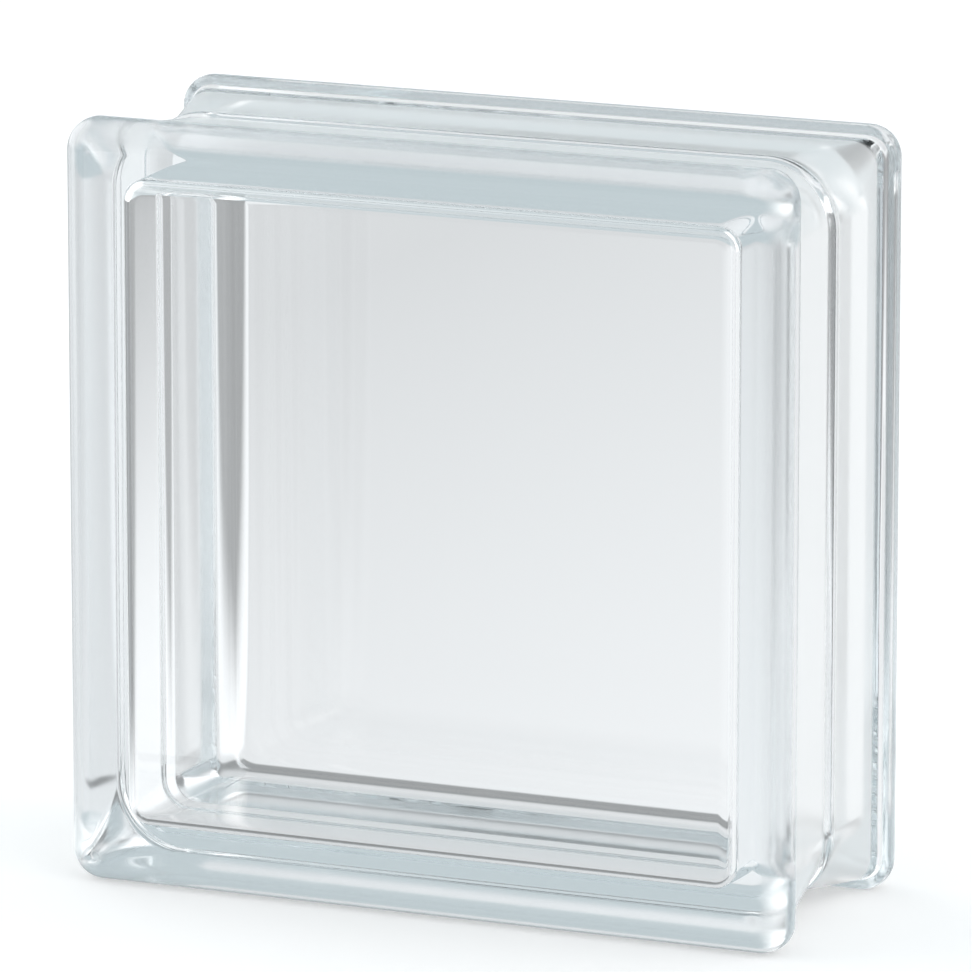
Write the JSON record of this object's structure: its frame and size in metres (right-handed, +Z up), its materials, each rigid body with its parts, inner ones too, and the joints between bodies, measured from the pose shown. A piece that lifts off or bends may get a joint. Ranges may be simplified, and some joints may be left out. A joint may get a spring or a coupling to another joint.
{
  "type": "glass block",
  "caption": "Square hollow block of clear pressed glass with rounded rims, mortar grooves round the sides and a fused seam at mid depth, for daylight walls.",
  "frame": {"origin": "middle of the foot, on the floor the block stands on", "axes": "+X along the width, +Y from the front face to the rear face, +Z up"},
  "size_m": [0.19, 0.08, 0.19],
  "materials": {
    "clear_glass": "clear pressed soda-lime glass, fire polished"
  },
  "bodies": {
    "root": {"glass_block": "clear_glass"}
  },
  "joints": []
}
